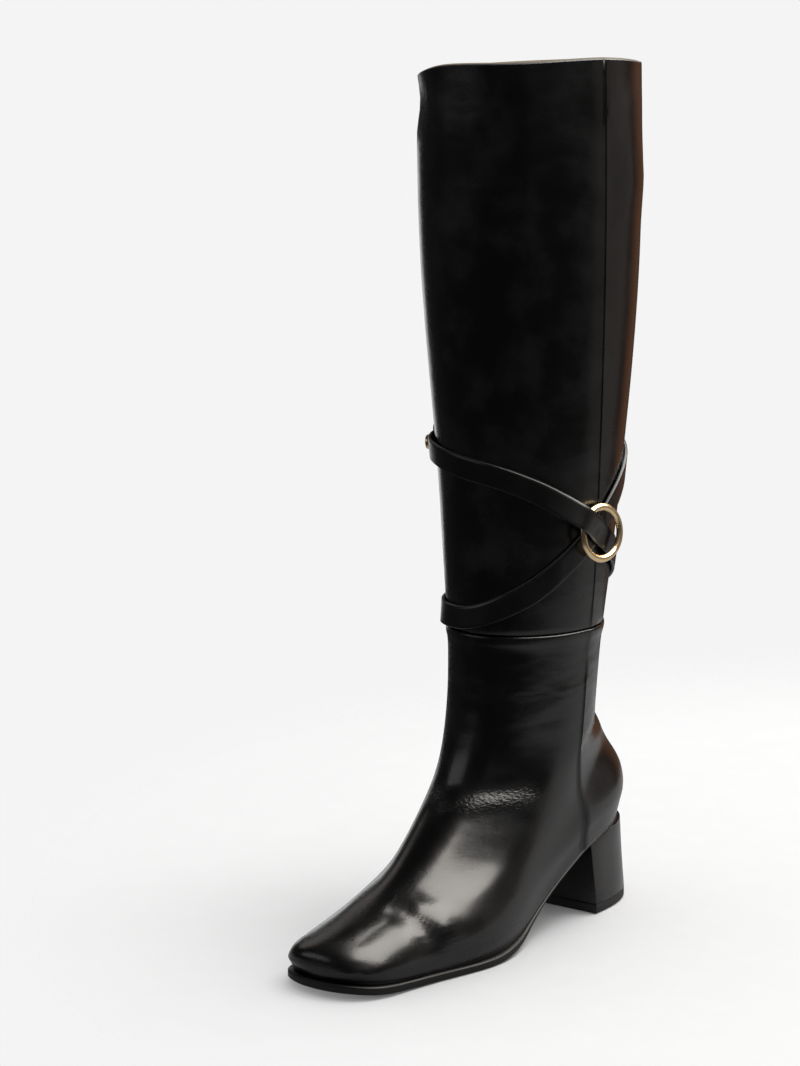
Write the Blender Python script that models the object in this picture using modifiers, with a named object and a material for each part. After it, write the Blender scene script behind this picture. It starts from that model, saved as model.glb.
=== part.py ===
"""Tall leather harness boot for the left foot, an assembly of named pieces.

The toe points to -Y, the lateral side is +X and +Z is up. Tables and sizes are in
millimetres, and each point is scaled to metres when its mesh is made. The leather
is one surface, the last: closed loops that climb from the feather line, where the
upper meets the sole, to the collar. An angle of 0 on a loop is its front, 90 its
lateral side, 180 its back and 270 its medial side.
"""
import math

import bmesh
import bpy
import numpy as np
from mathutils import Matrix
from mathutils import Vector

MM = 0.001
GAP = 0.3
NUDGE = 0.01

# Leather
UPPER_WALL = 2.0
SHAFT_WALL = 1.8
ANKLE_SEAM_HEIGHT = 162.0
ANKLE_LAP = 7.0
ANKLE_STEP = 0.9
ANKLE_FOLD = (0.0, 0.9, 1.0, 1.0)
ANKLE_TUCK = 4.0
ANKLE_TURN = 2.0
SIDE_SEAM_STEP = 0.6
SIDE_SEAM_EDGE = 0.7
SIDE_SEAM_LAP = 15.0
SIDE_SEAM_RISE = 9.0
FRONT_COLUMNS = 24
BACK_COLUMNS = 8

# Sole and heel
FOREPART_THICKNESS = 4.6
SEAT_THICKNESS = 2.2
FOREPART_EDGE = 2.4
SEAT_EDGE = 0.2
FOREPART_END = -12.0
WAIST_START = 22.0
SOLE_ROUNDING = 0.8
INSOLE_THICKNESS = 2.5
INSOLE_INSET = 3.4
TOP_PIECE_THICKNESS = 5.0
TOP_PIECE_CHAMFER = 0.6
HEEL_SQUARENESS = 2.7
HEEL_POINTS = 32

# Harness
STRAP_WIDTH = 11.8
STRAP_THICKNESS = 1.8
STRAP_ROUNDING = 0.4
OVER_STRAP = 2.7
KEEPER_WIDTH = 10.0
KEEPER_THICKNESS = 1.4
RING_DIAMETER = 31.0
RING_BAND = 4.0
RING_DEPTH = 3.4
RING_ROUNDING = 1.2
RING_STEPS = 40
RING_ANGLE = 81.0
RING_HEIGHT = 215.7
RING_LIFT = 5.4
RING_TURN_FRONT = 3.0
RING_TURN_UP = 9.0
STUD_DIAMETER = 8.0
STUD_HEIGHT = 2.4
STUD_ANGLE = -68.0
STUD_STEPS = 24

# The line on which the upper stands, from toe to heel
SOLE_LINE = np.array([
    # y, z
    (-125.0, 9.4),
    (-105.0, 6.6),
    (-80.0, 5.0),
    (-58.0, 4.75),
    (-24.0, 4.75),
    (-4.0, 7.2),
    (20.0, 17.5),
    (44.0, 31.0),
    (68.0, 42.5),
    (90.0, 46.6),
    (116.0, 49.0),
])

# How far the foot's axis swings to the lateral side, from the back of a loop to its front
SWING = np.array([
    # share of the loop, x
    (0.0, 0.0),
    (0.18, 0.5),
    (0.42, 3.0),
    (0.6, 0.5),
    (0.74, -3.5),
    (0.9, -7.0),
    (1.0, -8.0),
])

# Loops of the last from the feather line to the collar. The six last columns are half
# widths: of the ellipse that the loop follows at each of the six stations
STATIONS = (0.0, 0.12, 0.4, 0.6, 0.9, 1.0)
LAST = np.array([
    # back y, z, front y, z, follows sole, swings, at back, heel, waist, ball, toe, tip
    (117.0, 48.9, -120.5, 8.8, 1.0, 1.0, 59, 47, 28.5, 37.2, 48.5, 69),
    (119.5, 57.0, -123.0, 15.5, 0.92, 1.0, 60, 49, 29.5, 39.2, 50.5, 72),
    (122.0, 67.0, -118.5, 24.5, 0.75, 0.85, 61, 50.5, 32, 38, 42, 51),
    (120.3, 79.0, -101.0, 33.0, 0.55, 0.55, 56, 46.5, 33, 35, 32.5, 34),
    (111.8, 92.0, -69.0, 44.0, 0.35, 0.4, 43, 38, 34, 33, 28, 27),
    (104.8, 104.5, -38.0, 64.0, 0.2, 0.4, 36, 35, 34.5, 33, 28.5, 27.5),
    (101.0, 114.0, -13.0, 87.0, 0.1, 0.3, 28, 31, 36, 35, 31, 30),
    (100.5, 127.0, -1.0, 118.0, 0.03, 0.1, 26, 30, 37, 37, 35, 34),
    (101.5, 150.0, 3.0, 150.0, 0.0, 0.0, 27, 31.5, 38.5, 39, 38, 37),
    (103.5, 175.0, 4.0, 175.0, 0.0, 0.0, 30, 34, 41, 41.5, 41, 40),
    (106.5, 205.0, 3.5, 205.0, 0.0, 0.0, 36, 39, 44, 44.5, 44, 43),
    (110.0, 250.0, 1.2, 250.0, 0.0, 0.0, 43.5, 45, 47.5, 48, 47, 46.5),
    (113.5, 300.0, -3.0, 300.0, 0.0, 0.0, 50.5, 51, 52, 52, 51.5, 51),
    (116.0, 350.0, -7.0, 350.0, 0.0, 0.0, 54.5, 55, 55.5, 55.5, 55, 54.5),
    (116.5, 400.0, -8.5, 400.0, 0.0, 0.0, 56.5, 56.5, 57, 57, 56.5, 56),
    (116.0, 456.0, -8.5, 453.5, 0.0, 0.0, 56, 56, 56.5, 56.5, 56.5, 56),
])
# How far the collar's edge rises or falls from its even slope
COLLAR_WAVE = np.array([
    # angle, rise
    (-180.0, 1.0),
    (-92.0, -1.5),
    (-55.0, -3.5),
    (-13.0, 2.5),
    (30.0, 3.5),
    (77.0, 4.6),
    (125.0, 1.0),
    (180.0, 1.0),
])
FIRST_LEVEL_LOOP = 8.0
COLLAR_LEVEL = len(LAST) - 1.0
UPPER_LEVELS = 25
SHAFT_LEVELS = 15

# The side seams, as angles from the front, from the feather line to the collar
SIDE_SEAM = np.array([
    # level, angle
    (0.0, 121.0),
    (1.3, 118.5),
    (3.0, 114.5),
    (4.6, 106.0),
    (6.0, 94.5),
    (7.5, 89.0),
    (9.0, 87.0),
    (11.3, 81.0),
    (13.2, 77.5),
    (15.0, 76.5),
])

# Heel block from the ground to the seat
HEEL = np.array([
    # share of height, breast y, back y, half width
    (0.0, 70.5, 121.0, 33.2),
    (0.5, 69.5, 119.5, 32.0),
    (1.0, 67.5, 118.5, 31.4),
])

# The strap: two turns round the shaft, from the free end under the keeper to the end below it
STRAP_ROUTE = np.array([
    # angle, height, lift, bank
    (-90.0, 257.6, OVER_STRAP, 0.0),
    (-68.0, 256.4, OVER_STRAP, 0.0),
    (-52.0, 255.3, 2.0, 0.0),
    (-38.0, 254.2, 0.8, 0.0),
    (-20.0, 252.4, GAP, 0.0),
    (15.0, 247.5, GAP, 0.0),
    (38.0, 240.6, 0.8, 0.0),
    (54.0, 233.2, 4.2, -0.6),
    (66.0, 226.0, 8.4, -1.2),
    (73.0, 221.1, 6.7, -1.2),
    (81.0, 215.7, 3.2, 0.0),
    (91.0, 209.2, 2.7, 0.0),
    (103.0, 202.2, 0.9, 0.0),
    (120.0, 194.4, GAP, 0.0),
    (148.0, 184.0, GAP, 0.0),
    (180.0, 177.0, GAP, 0.0),
    (230.0, 172.0, GAP, 0.0),
    (256.0, 171.0, GAP, 0.0),
    (280.0, 170.5, GAP, 0.0),
    (304.0, 170.0, GAP, 0.0),
    (330.0, 170.0, GAP, 0.0),
    (362.0, 172.5, GAP, 0.0),
    (395.0, 184.0, GAP, 0.0),
    (421.0, 199.9, GAP, 0.0),
    (441.0, 215.7, GAP, 0.0),
    (460.0, 231.2, GAP, 0.0),
    (482.0, 244.0, GAP, 0.0),
    (512.0, 253.6, GAP, 0.0),
    (545.0, 258.5, GAP, 0.0),
    (580.0, 259.2, GAP, 0.0),
    (606.0, 258.6, GAP, 0.0),
    (630.0, 257.6, GAP, 0.0),
    (655.0, 256.1, GAP, 0.0),
])
STRAP_STATIONS = 150

# The keeper runs over both layers of the strap, from below them to above them
KEEPER_ROUTE = np.array([
    # angle, height from the strap's middle, lift, bank
    (-82.0, -13.0, GAP, 0.0),
    (-82.0, -9.8, 1.2, 0.0),
    (-82.0, -7.6, 4.9, 0.0),
    (-82.0, 0.0, 5.2, 0.0),
    (-82.0, 7.6, 4.9, 0.0),
    (-82.0, 9.8, 1.2, 0.0),
    (-82.0, 13.0, GAP, 0.0),
])
KEEPER_STATIONS = 19

# Half section of the stud, whose middle is dished
STUD_PROFILE = (
    # share of radius, share of height
    (0.0, 0.7),
    (0.62, 0.7),
    (0.72, 1.0),
    (0.9, 1.0),
    (1.0, 0.75),
    (1.0, 0.0),
    (0.0, 0.0),
)

BLACK_LEATHER = ("black_calf_leather", (0.012, 0.011, 0.012), 0.28, 0.0)
BLACK_STRAP = ("black_strap_leather", (0.010, 0.010, 0.011), 0.22, 0.0)
SOLE_LEATHER = ("blackened_sole_leather", (0.016, 0.015, 0.015), 0.42, 0.0)
HEEL_COVER = ("heel_cover_leather", (0.013, 0.012, 0.012), 0.32, 0.0)
RUBBER = ("black_rubber", (0.018, 0.018, 0.018), 0.6, 0.0)
INSOLE_LEATHER = ("insole_leather", (0.42, 0.31, 0.21), 0.55, 0.0)
PALE_GOLD = ("pale_gold_metal", (0.86, 0.66, 0.38), 0.18, 1.0)


def smooth(knots, values, at):
    """Values along a smooth curve through a table's knots."""
    values = np.asarray(values, dtype=float)
    knots = np.asarray(knots, dtype=float)
    at = np.asarray(at, dtype=float)
    slopes = np.gradient(values, knots, axis=0)
    low = np.clip(np.searchsorted(knots, at) - 1, 0, len(knots) - 2)
    spread = at.shape + (1,) * (values.ndim - 1)
    span = (knots[low + 1] - knots[low]).reshape(spread)
    s = np.clip((at - knots[low]).reshape(spread) / span, 0.0, 1.0)
    start = (1 + 2 * s) * (1 - s) ** 2 * values[low] + s * (1 - s) ** 2 * span * slopes[low]
    end = s * s * (3 - 2 * s) * values[low + 1] + s * s * (s - 1) * span * slopes[low + 1]
    return start + end


def sole_height(y):
    return smooth(SOLE_LINE[:, 0], SOLE_LINE[:, 1], y)


def collar_wave(angles):
    """Rise of the collar's edge at each angle; it fades out one loop below the collar."""
    turned = (np.asarray(angles, dtype=float) + 180.0) % 360.0 - 180.0
    return smooth(COLLAR_WAVE[:, 0], COLLAR_WAVE[:, 1], turned)


def skin_loop(level, angles):
    """Points of the outer leather on one loop of the last."""
    row = smooth(np.arange(len(LAST)), LAST, level)
    back_y, back_z, front_y, front_z, follows, swings = row[:6]
    around = np.radians(180.0 - np.asarray(angles, dtype=float))
    share = (1 - np.cos(around)) / 2
    y = back_y + (front_y - back_y) * share
    feather = LAST[0]
    along = (y - feather[0]) / (feather[2] - feather[0])
    arch = sole_height(y) - (feather[1] + (feather[3] - feather[1]) * along)
    z = back_z + (front_z - back_z) * share + follows * arch
    z += np.clip(level - COLLAR_LEVEL + 1.0, 0.0, 1.0) * collar_wave(angles)
    half_width = smooth(STATIONS, row[6:], share)
    x = swings * smooth(SWING[:, 0], SWING[:, 1], share) + np.sin(around) * half_width
    return np.stack([x, y, z], axis=-1)


def skin_normals(level, angles):
    """Outward directions of the leather on one loop."""
    angles = np.asarray(angles, dtype=float)
    low = max(level - NUDGE, 0.0)
    high = min(level + NUDGE, COLLAR_LEVEL)
    up = skin_loop(high, angles) - skin_loop(low, angles)
    round_loop = skin_loop(level, angles + NUDGE) - skin_loop(level, angles - NUDGE)
    normal = np.cross(round_loop, up)
    return normal / np.linalg.norm(normal, axis=-1, keepdims=True)


def level_at(height):
    """Level of the shaft's loop at a height; its loops are level from the ankle seam up."""
    levels = np.linspace(FIRST_LEVEL_LOOP - 1.0, COLLAR_LEVEL, 400)
    heights = smooth(np.arange(len(LAST)), LAST[:, 1], levels)
    return float(np.interp(height, heights, levels))


def behind_seam(level, angles):
    """How far points of a loop lie behind the nearer side seam, along the leather."""
    seam = float(smooth(SIDE_SEAM[:, 0], SIDE_SEAM[:, 1], level))
    at_seam = skin_loop(level, [seam, seam + 1.0])
    per_degree = np.linalg.norm(at_seam[1] - at_seam[0])
    from_front = np.abs((np.asarray(angles, dtype=float) + 180.0) % 360.0 - 180.0)
    return (from_front - seam) * per_degree


def lap_lift(level, angles):
    """The back panel laps over the front one and thins out behind the seam."""
    behind = behind_seam(level, angles)
    fade = np.clip(1.0 - behind / SIDE_SEAM_LAP, 0.0, 1.0)
    return np.where(behind > 0.5 * SIDE_SEAM_EDGE, SIDE_SEAM_STEP * fade, 0.0)


def above_shaft(angle, height, lift):
    """A point over the shaft: a band rises in front of a side seam, before its step."""
    level = level_at(height)
    behind = behind_seam(level, angle)
    rise = np.clip(1.0 + behind / SIDE_SEAM_RISE, 0.0, 1.0)
    fall = np.clip(1.0 - behind / SIDE_SEAM_LAP, 0.0, 1.0)
    over = lift + SIDE_SEAM_STEP * min(rise, fall)
    return skin_loop(level, [angle])[0] + over * skin_normals(level, [angle])[0]


def panel_angles(level):
    """Angles round a loop, with one on each side of both seams."""
    seam = float(smooth(SIDE_SEAM[:, 0], SIDE_SEAM[:, 1], level))
    edge = SIDE_SEAM_EDGE / behind_seam(level, [seam + 1.0])[0]
    front = np.linspace(-seam, seam, FRONT_COLUMNS)
    lateral = np.linspace(seam + edge, 180.0, BACK_COLUMNS)
    medial = 360.0 - lateral[-2::-1]
    return np.concatenate([front, lateral, medial])


def lifted_loop(level, offset, lap=1.0):
    """One loop of a leather panel, with the seams' laps and an offset from the last."""
    angles = panel_angles(level)
    lifts = offset + lap * lap_lift(level, angles)
    return skin_loop(level, angles) + lifts[:, None] * skin_normals(level, angles)


def clear_scene():
    for old in list(bpy.data.objects):
        bpy.data.objects.remove(old, do_unlink=True)


def new_collection(name):
    collection = bpy.data.collections.new(name)
    bpy.context.scene.collection.children.link(collection)
    return collection


def new_material(name, colour, roughness, metallic):
    material = bpy.data.materials.new(name)
    material.use_nodes = True
    shader = material.node_tree.nodes["Principled BSDF"]
    shader.inputs["Base Color"].default_value = (*colour, 1.0)
    shader.inputs["Roughness"].default_value = roughness
    shader.inputs["Metallic"].default_value = metallic
    material.diffuse_color = (*colour, 1.0)
    return material


def add_object(name, mesh, finish, sharp_angle=40.0):
    mesh.shade_smooth()
    mesh.set_sharp_from_angle(angle=math.radians(sharp_angle))
    mesh.materials.append(new_material(f"{name}_{finish[0]}", *finish[1:]))
    piece = bpy.data.objects.new(name, mesh)
    parts.objects.link(piece)
    piece.parent = frame
    return piece


def fill_end(shape, ring):
    shape.faces.new(ring)


def ladder_end(shape, ring):
    """Closes a ring by rungs between its two like sides."""
    count = len(ring)
    for i in range(count // 2 - 1):
        shape.faces.new((ring[i], ring[i + 1], ring[count - 2 - i], ring[count - 1 - i]))


def loft_mesh(name, loops, close_end=None):
    """Quads between closed loops; without closed ends it is a sheet that faces outwards."""
    shape = bmesh.new()
    grid = [[shape.verts.new(Vector(point) * MM) for point in loop] for loop in loops]
    count = len(grid[0])
    for low, high in zip(grid, grid[1:]):
        for i in range(count):
            j = (i + 1) % count
            shape.faces.new((low[i], low[j], high[j], high[i]))
    if close_end:
        close_end(shape, grid[0])
        close_end(shape, grid[-1])
        bmesh.ops.recalc_face_normals(shape, faces=shape.faces)
    mesh = bpy.data.meshes.new(name)
    shape.to_mesh(mesh)
    shape.free()
    return mesh


def add_wall(piece, thickness):
    """Leather of even thickness on the inner side of a sheet."""
    wall = piece.modifiers.new("wall", "SOLIDIFY")
    wall.thickness = thickness * MM
    wall.offset = -1.0
    wall.use_even_offset = True


def build_upper():
    """Foot part: its top edge is folded, stands a step proud and laps over the shaft."""
    lap_start = level_at(ANKLE_SEAM_HEIGHT - ANKLE_LAP)
    body = np.linspace(0.0, lap_start, UPPER_LEVELS)
    fold = np.linspace(lap_start, level_at(ANKLE_SEAM_HEIGHT), len(ANKLE_FOLD))
    loops = [lifted_loop(level, 0.0) for level in body[:-1]]
    loops += [lifted_loop(level, ANKLE_STEP * share) for level, share in zip(fold, ANKLE_FOLD)]
    upper = add_object("upper", loft_mesh("upper", loops), BLACK_LEATHER)
    add_wall(upper, UPPER_WALL)


def build_shaft():
    """Leg part: a tube whose lower edge is tucked inside the upper's folded edge."""
    tuck = ANKLE_STEP - UPPER_WALL - 2 * GAP
    tucked_from = ANKLE_SEAM_HEIGHT - ANKLE_TUCK
    tucked_to = ANKLE_SEAM_HEIGHT + GAP
    loops = [lifted_loop(level_at(height), tuck, lap=0.0) for height in (tucked_from, tucked_to)]
    start = level_at(tucked_to + ANKLE_TURN)
    for level in np.linspace(start, COLLAR_LEVEL, SHAFT_LEVELS):
        loops.append(lifted_loop(level, 0.0))
    shaft = add_object("shaft", loft_mesh("shaft", loops), BLACK_LEATHER)
    add_wall(shaft, SHAFT_WALL)


def feather_height(y):
    """Height of the upper's lower edge, straight between its columns as the upper is."""
    lateral = [angle for angle in panel_angles(0.0) if 0.0 <= angle <= 180.0]
    edge = skin_loop(0.0, lateral)
    return np.interp(y, edge[:, 1], edge[:, 2])


def even_line(value):
    """The same size all along the foot."""
    return lambda y: np.full_like(y, value)


def sole_angles():
    """The upper's columns and their middles, in pairs, from the back round the lateral side."""
    columns = panel_angles(0.0)
    front = columns[:FRONT_COLUMNS]
    middles = (front[1:] + front[:-1]) / 2
    middles = np.delete(middles, len(middles) // 2)
    back = columns[FRONT_COLUMNS:FRONT_COLUMNS + BACK_COLUMNS - 1]
    return np.sort(np.concatenate([front, middles, back, -back]))[::-1]


def sole_ring(grow, height_of):
    """Outline of the feather line moved outwards."""
    angles = sole_angles()
    outline = skin_loop(0.0, angles)
    outwards = skin_normals(0.0, angles)
    outwards[:, 2] = 0.0
    outwards /= np.linalg.norm(outwards, axis=-1, keepdims=True)
    ring = outline + grow(outline[:, 1])[:, None] * outwards
    ring[:, 2] = height_of(ring[:, 1])
    return ring


def sole_top(y):
    return feather_height(y) - GAP


def forepart_share(y):
    """1 on the forepart of the sole, 0 on its waist and seat."""
    return np.clip((WAIST_START - y) / (WAIST_START - FOREPART_END), 0.0, 1.0)


def sole_edge(y):
    return SEAT_EDGE + (FOREPART_EDGE - SEAT_EDGE) * forepart_share(y)


def sole_thickness(y):
    return SEAT_THICKNESS + (FOREPART_THICKNESS - SEAT_THICKNESS) * forepart_share(y)


def sole_bottom(y):
    """Underside of the sole, flat where the forepart stands on the ground."""
    return np.maximum(sole_top(y) - sole_thickness(y), 0.0)


def build_outsole():
    rings = [
        sole_ring(lambda y: sole_edge(y) - SOLE_ROUNDING, sole_top),
        sole_ring(sole_edge, lambda y: sole_top(y) - SOLE_ROUNDING),
        sole_ring(sole_edge, lambda y: sole_bottom(y) + SOLE_ROUNDING),
        sole_ring(lambda y: sole_edge(y) - SOLE_ROUNDING, sole_bottom),
    ]
    add_object("outsole", loft_mesh("outsole", rings, ladder_end), SOLE_LEATHER)


def build_insole():
    inset = even_line(-INSOLE_INSET)
    rings = [
        sole_ring(inset, lambda y: feather_height(y) + GAP + INSOLE_THICKNESS),
        sole_ring(inset, lambda y: feather_height(y) + GAP),
    ]
    add_object("insole", loft_mesh("insole", rings, ladder_end), INSOLE_LEATHER)


def heel_ring(share, inset, height_of):
    """D-shaped outline of the heel: a straight breast and a rounded back."""
    _, breast, back, half_width = smooth(HEEL[:, 0], HEEL, share)
    turn = np.linspace(-90.0, 90.0, HEEL_POINTS)
    sine = np.sin(np.radians(turn))
    cosine = np.cos(np.radians(turn))
    power = 2.0 / HEEL_SQUARENESS
    x = (half_width - inset) * np.sign(sine) * np.abs(sine) ** power
    y = breast + inset + (back - breast - 2 * inset) * np.abs(cosine) ** power
    return np.stack([x, y, height_of(y)], axis=-1)


def build_heel():
    """Heel block under the seat, and the lift on which it stands."""
    foot = TOP_PIECE_THICKNESS + GAP

    def block_height(share):
        def height(y):
            seat = sole_bottom(y) - GAP
            return foot + (seat - foot) * share
        return height

    sections = [heel_ring(share, 0.0, block_height(share)) for share in (0.0, 0.25, 0.5, 0.75, 1.0)]
    add_object("heel_block", loft_mesh("heel_block", sections, ladder_end), HEEL_COVER)
    lift = [
        heel_ring(0.0, TOP_PIECE_CHAMFER, even_line(0.0)),
        heel_ring(0.0, 0.0, even_line(TOP_PIECE_CHAMFER)),
        heel_ring(0.0, 0.0, even_line(TOP_PIECE_THICKNESS)),
    ]
    add_object("heel_top_piece", loft_mesh("heel_top_piece", lift, ladder_end), RUBBER)


def band_section(width, thickness, rounding):
    """Corners of a flat band: across it and up from its underside."""
    half = width / 2
    under = [(-half + rounding, 0.0), (0.0, 0.0), (half - rounding, 0.0), (half, rounding)]
    over = [(-across, thickness - up) for across, up in under]
    return under + over


def band_on_shaft(route, stations, section):
    """Sections of a band that lies on the shaft along its route.

    The lift is from the leather to the underside of the band, and the bank is how much
    more than that one edge rises and the other edge falls.
    """
    knots = np.arange(len(route))
    steps = np.linspace(0.0, len(route) - 1.0, stations)
    half_width = max(across for across, up in section)
    sections = []
    for step in steps:
        angle, height, lift, bank = smooth(knots, route, step)
        ahead = smooth(knots, route, min(step + NUDGE, knots[-1]))
        behind = smooth(knots, route, max(step - NUDGE, 0.0))
        per_degree = above_shaft(angle + 0.5, height, 0.0) - above_shaft(angle - 0.5, height, 0.0)
        per_height = above_shaft(angle, height + 0.5, 0.0) - above_shaft(angle, height - 0.5, 0.0)
        turn, climb = (ahead - behind)[:2]
        forward = per_degree * turn + per_height * climb
        normal = np.cross(per_degree, per_height)
        side = np.cross(normal, forward)
        side /= np.linalg.norm(side)
        surface = np.stack([per_degree, per_height], axis=-1)
        side_angle, side_height = np.linalg.lstsq(surface, side, rcond=None)[0]
        corners = []
        for across, up in section:
            over = lift + up + bank * across / half_width
            corner = (angle + across * side_angle, height + across * side_height, over)
            corners.append(above_shaft(*corner))
        sections.append(corners)
    return sections


def strap_middle(angle):
    """Height of the strap's first turn at an angle."""
    return float(np.interp(angle, STRAP_ROUTE[:, 0], STRAP_ROUTE[:, 1]))


def build_strap():
    section = band_section(STRAP_WIDTH, STRAP_THICKNESS, STRAP_ROUNDING)
    sections = band_on_shaft(STRAP_ROUTE, STRAP_STATIONS, section)
    add_object("harness_strap", loft_mesh("harness_strap", sections, fill_end), BLACK_STRAP)


def build_keeper():
    route = KEEPER_ROUTE + (0.0, strap_middle(KEEPER_ROUTE[0, 0]), 0.0, 0.0)
    section = band_section(KEEPER_WIDTH, KEEPER_THICKNESS, STRAP_ROUNDING)
    sections = band_on_shaft(route, KEEPER_STATIONS, section)
    add_object("keeper", loft_mesh("keeper", sections, fill_end), BLACK_STRAP)


def turned_object(name, profile, steps, finish, place):
    """A profile of radius and height, listed down its outer side, turned round its axis."""
    mesh = bpy.data.meshes.new(name)
    points = [(radius * MM, 0.0, height * MM) for radius, height in profile]
    closed = profile[0] == profile[-1]
    if closed:
        points.pop()
    edges = [(i, (i + 1) % len(points)) for i in range(len(points) - 1 + closed)]
    mesh.from_pydata(points, edges, [])
    piece = add_object(name, mesh, finish)
    screw = piece.modifiers.new("turn", "SCREW")
    screw.axis = "Z"
    screw.angle = math.radians(360.0)
    screw.steps = steps
    screw.render_steps = steps
    screw.use_merge_vertices = True
    screw.merge_threshold = 0.00001
    screw.use_smooth_shade = True
    piece.matrix_basis = place
    return piece


def seat_matrix(angle, height, lift, turn_front=0.0, turn_up=0.0):
    """Place on the shaft whose Z axis leaves the leather, turned towards the front and up."""
    out = Vector(skin_normals(level_at(height), [angle])[0])
    up = (Vector((0.0, 0.0, 1.0)) - out * out.z).normalized()
    ahead = up.cross(out)
    if ahead.y > 0.0:
        ahead.negate()
    out = (out + math.tan(math.radians(turn_front)) * ahead + math.tan(math.radians(turn_up)) * up)
    out.normalize()
    side = up.cross(out).normalized()
    turned = Matrix((side, out.cross(side), out)).transposed().to_4x4()
    centre = Vector(above_shaft(angle, height, lift)) * MM
    return Matrix.Translation(centre) @ turned


def build_ring():
    outer = RING_DIAMETER / 2
    inner = outer - RING_BAND
    top = RING_DEPTH / 2
    soft = RING_ROUNDING
    profile = [
        (inner + soft, top),
        (outer - soft, top),
        (outer, top - soft),
        (outer, soft - top),
        (outer - soft, -top),
        (inner + soft, -top),
        (inner, soft - top),
        (inner, top - soft),
        (inner + soft, top),
    ]
    place = seat_matrix(RING_ANGLE, RING_HEIGHT, RING_LIFT, RING_TURN_FRONT, RING_TURN_UP)
    turned_object("ring", profile, RING_STEPS, PALE_GOLD, place)


def build_stud():
    radius = STUD_DIAMETER / 2
    profile = [(radius * across, STUD_HEIGHT * up) for across, up in STUD_PROFILE]
    lift = OVER_STRAP + STRAP_THICKNESS + GAP
    place = seat_matrix(STUD_ANGLE, strap_middle(STUD_ANGLE), lift)
    turned_object("stud", profile, STUD_STEPS, PALE_GOLD, place)


clear_scene()
parts = new_collection("tall_boot")
frame = bpy.data.objects.new("boot_frame", None)
parts.objects.link(frame)
build_outsole()
build_heel()
build_insole()
build_upper()
build_shaft()
build_strap()
build_keeper()
build_ring()
build_stud()
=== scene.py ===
# %% [markdown]
# # Dressing a tall leather boot
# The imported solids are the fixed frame: they give every size and place in this scene.
# Each step copies a solid or adds a piece the way it would be done by hand, so that the
# leather gets its folds, the collar its lining and the metal its shine. The toe points
# towards -Y, the outer side of the foot towards +X, and the sole stands at height 0.

# %% Load the frame
import math

import bpy
import numpy as np
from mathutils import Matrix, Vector


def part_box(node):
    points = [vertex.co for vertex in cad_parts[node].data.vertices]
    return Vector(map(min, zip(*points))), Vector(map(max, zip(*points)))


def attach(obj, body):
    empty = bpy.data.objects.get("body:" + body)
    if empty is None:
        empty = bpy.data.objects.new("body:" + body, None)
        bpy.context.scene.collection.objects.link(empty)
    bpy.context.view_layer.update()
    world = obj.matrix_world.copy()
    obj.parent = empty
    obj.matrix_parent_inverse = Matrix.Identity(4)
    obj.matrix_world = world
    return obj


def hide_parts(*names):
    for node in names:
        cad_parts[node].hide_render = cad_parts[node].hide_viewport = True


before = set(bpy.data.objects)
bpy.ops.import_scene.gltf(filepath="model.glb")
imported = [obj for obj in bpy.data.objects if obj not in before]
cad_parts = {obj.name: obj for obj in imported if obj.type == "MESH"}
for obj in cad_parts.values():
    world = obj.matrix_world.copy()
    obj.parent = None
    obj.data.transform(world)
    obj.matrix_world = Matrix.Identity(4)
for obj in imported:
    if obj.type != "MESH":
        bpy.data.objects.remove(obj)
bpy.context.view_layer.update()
print("solids:", ", ".join(sorted(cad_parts)))

# %% [markdown]
# ## Camera
# The boot is seen from in front of its outer side, a little above the collar. A camera
# could be placed by eye, but then the proportions drift with the lens. This one was fitted:
# its place, tilt and long lens are those at which the outline of the solids lies closest to
# the photograph's. Sizes are written in millimetres, and MM turns them into metres.

# %% Camera
MM = 0.001
CAMERA_PLACE = (852.1, -1185.9, 484.0)
CAMERA_TURN = (79.635, 0.329, 37.056)
LENS = 129.6
SENSOR = 36

bpy.ops.object.select_all(action="DESELECT")
bpy.ops.object.camera_add()
camera = bpy.context.object
camera.name = "photo_camera"
camera.location = Vector(CAMERA_PLACE) * MM
camera.rotation_euler = [math.radians(turn) for turn in CAMERA_TURN]
camera.data.lens = LENS
camera.data.sensor_width = SENSOR
camera.data.sensor_fit = "HORIZONTAL"
bpy.context.scene.camera = camera
print("camera at", CAMERA_PLACE, "mm, lens", LENS, "mm")

# %% [markdown]
# ## Floor
# The boot stands on pale studio paper. The paper could be modelled as a sweep that curves
# up behind, but a flat sheet that fades into the background later on looks the same and is
# simpler. It lies a hair below the sole, so that the two faces never share a plane.

# %% Floor
FLOOR_SIZE = 3000
FLOOR_BELOW = 0.2

bpy.ops.object.select_all(action="DESELECT")
bpy.ops.mesh.primitive_plane_add(size=FLOOR_SIZE * MM, location=(0, 0, -FLOOR_BELOW * MM))
floor = bpy.context.object
floor.name = "paper_floor"
bpy.ops.object.transform_apply(location=True, rotation=True, scale=True)
print("floor", FLOOR_SIZE, "mm wide,", FLOOR_BELOW, "mm below the sole")

# %% [markdown]
# ## Lights
# Polished black leather has almost no colour of its own: what the eye sees is the lamps
# and panels mirrored in it. A large softbox above and behind the outer side gives the broad
# highlights, and weak panels draw the edges and sides. The same lamps could light the floor
# too, but then every change to a highlight would change the paper, so they only make shine.
# The floor is lit by the pale walls and by one soft lamp far overhead.


# %% Helpers for lights
def linear(colour):
    """A hex colour in sRGB as the linear values that a lamp or a shader takes."""
    parts = [int(colour[i:i + 2], 16) / 255 for i in (1, 3, 5)]
    return [p / 12.92 if p <= 0.04045 else ((p + 0.055) / 1.055) ** 2.4 for p in parts] + [1.0]


AIM_HEIGHT = 150
WATTS_FOR_WHITE = 4  # for each square metre of an area lamp that looks as bright as white


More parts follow.
